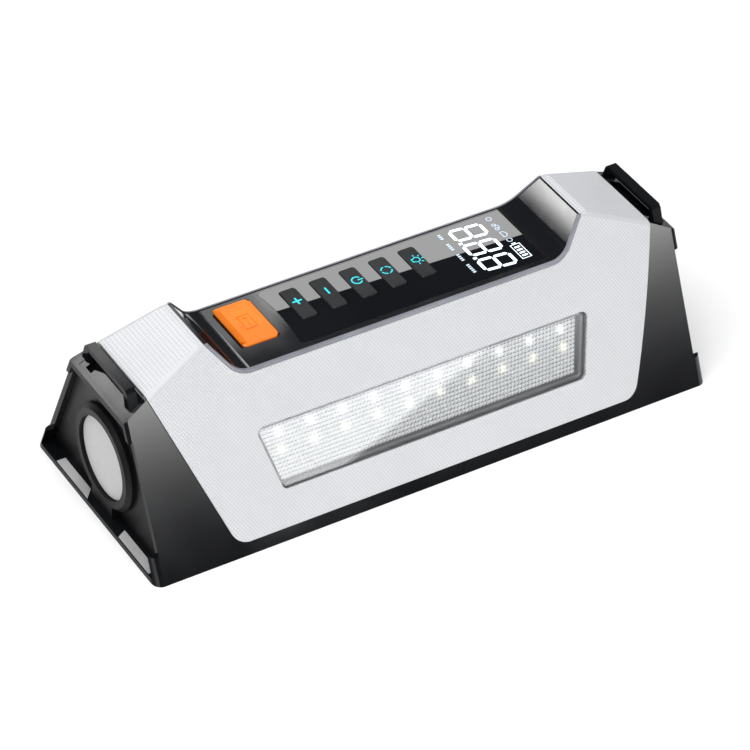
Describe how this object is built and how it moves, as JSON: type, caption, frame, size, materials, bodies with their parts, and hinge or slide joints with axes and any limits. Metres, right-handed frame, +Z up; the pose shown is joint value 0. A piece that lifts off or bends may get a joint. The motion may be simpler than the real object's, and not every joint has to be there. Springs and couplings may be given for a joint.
{
  "type": "power bank",
  "caption": "Long trapezoidal car power bank with air compressor: saddle control panel with display and keys, side work light, end torch, capped jump port, strap bars.",
  "frame": {"origin": "centre of the underside, where the body rests", "axes": "+X along the body towards the air outlet, -Y towards the work light, +Z up"},
  "size_m": [0.231, 0.091, 0.0716],
  "materials": {
    "case_black": "fine satin moulding",
    "cover_white": "fine diamond grain",
    "panel_gloss": "piano gloss",
    "trim_grey": "satin grey",
    "window_clear": "smoked clear acrylic",
    "lens_clear": "clear acrylic",
    "lens_frosted": "frosted",
    "tray_grey": "satin",
    "board_white": "white solder mask",
    "board_green": "solder mask",
    "led_yellow": "phosphor",
    "reflector": "vacuum metallised",
    "switch_black": "moulded",
    "steel": "plated",
    "display_dark": "dark filter",
    "brass": "plain",
    "rubber_orange": "satin silicone",
    "rubber_black": "satin",
    "ferrite": "moulded",
    "aluminium": "die cast",
    "gear_plastic": "acetal",
    "cell_foil": "laminated foil pouch",
    "key_grey": "soft touch"
  },
  "bodies": {
    "housing": {"air_manifold": "brass", "battery_cell_1": "cell_foil", "battery_cell_2": "cell_foil", "battery_cell_3": "cell_foil", "battery_cell_4": "cell_foil", "battery_tray": "tray_grey", "bay_tray": "case_black", "board_capacitors": "aluminium", "board_chips": "switch_black", "board_inductors": "ferrite", "board_screws": "steel", "case_screws": "steel", "compressor_frame": "aluminium", "cylinder_head": "aluminium", "display_module": "display_dark", "jump_contacts": "brass", "jump_socket": "case_black", "key_board": "board_green", "key_switches": "switch_black", "lamp_board": "board_white", "lamp_leds": "led_yellow", "lamp_lens": "lens_clear", "lamp_prism_plate": "lens_clear", "lamp_tray": "tray_grey", "left_end_panel": "case_black", "left_strap_bar": "case_black", "lower_shell": "case_black", "main_board": "board_green", "motor_can": "steel", "panel_bezel": "panel_gloss", "panel_trim_back": "trim_grey", "panel_trim_front": "trim_grey", "panel_window": "window_clear", "port_board": "board_green", "reset_switch": "switch_black", "right_end_panel": "case_black", "right_strap_bar": "case_black", "rubber_feet": "rubber_black", "torch_board": "board_white", "torch_led": "led_yellow", "torch_lens": "lens_frosted", "torch_reflector": "reflector", "upper_cover": "cover_white", "usb_a_socket": "steel", "usb_a_tongue": "tray_grey", "usb_c_socket": "steel"},
    "plus_key": {"key_plus": "key_grey"},
    "minus_key": {"key_minus": "key_grey"},
    "power_key": {"key_power": "key_grey"},
    "mode_key": {"key_mode": "key_grey"},
    "light_key": {"key_light": "key_grey"},
    "jump_cover": {"jump_port_cover": "rubber_orange"},
    "bay_flap": {"port_flap": "rubber_black"},
    "rotor": {"motor_rotor": "steel"},
    "crank": {"crank_gear": "gear_plastic"},
    "piston": {"piston_rod": "gear_plastic"},
    "reset": {"reset_button": "case_black"}
  },
  "joints": [
    {"name": "plus_key_press", "type": "slide", "parent": "housing", "child": "plus_key", "axis": [0, 0, -1], "range_m": [0, 0.0005], "stiffness_N_per_m": 400, "springref_m": -0.0004},
    {"name": "minus_key_press", "type": "slide", "parent": "housing", "child": "minus_key", "axis": [0, 0, -1], "range_m": [0, 0.0005], "stiffness_N_per_m": 400, "springref_m": -0.0004},
    {"name": "power_key_press", "type": "slide", "parent": "housing", "child": "power_key", "axis": [0, 0, -1], "range_m": [0, 0.0005], "stiffness_N_per_m": 400, "springref_m": -0.0004},
    {"name": "mode_key_press", "type": "slide", "parent": "housing", "child": "mode_key", "axis": [0, 0, -1], "range_m": [0, 0.0005], "stiffness_N_per_m": 400, "springref_m": -0.0004},
    {"name": "light_key_press", "type": "slide", "parent": "housing", "child": "light_key", "axis": [0, 0, -1], "range_m": [0, 0.0005], "stiffness_N_per_m": 400, "springref_m": -0.0004},
    {"name": "reset_button_press", "type": "slide", "parent": "housing", "child": "reset", "axis": [0, -0.9102, -0.4141], "range_m": [0, 0.0006], "stiffness_N_per_m": 300, "springref_m": -0.0004},
    {"name": "jump_cover_hinge", "type": "hinge", "parent": "housing", "child": "jump_cover", "pos_m": [-0.0454, 0.00417, 0.05865], "axis": [0, 1, 0], "range_deg": [0, 110]},
    {"name": "bay_flap_hinge", "type": "hinge", "parent": "housing", "child": "bay_flap", "pos_m": [0.045, 0.0387, 0.0135], "axis": [-1, 0, 0], "range_deg": [0, 90]},
    {"name": "crank_gear_turn", "type": "hinge", "parent": "housing", "child": "crank", "pos_m": [0.0785, 0.017, 0.0185], "axis": [1, 0, 0], "continuous": true},
    {"name": "motor_rotor_turn", "type": "hinge", "parent": "housing", "child": "rotor", "pos_m": [0.055, -0.001, 0.0185], "axis": [1, 0, 0], "continuous": true},
    {"name": "piston_stroke", "type": "slide", "parent": "housing", "child": "piston", "axis": [0, 1, 0], "range_m": [0, 0.01]}
  ],
  "couplings": [
    {"joint": "motor_rotor_turn", "follows": "crank_gear_turn", "ratio": -4}
  ]
}
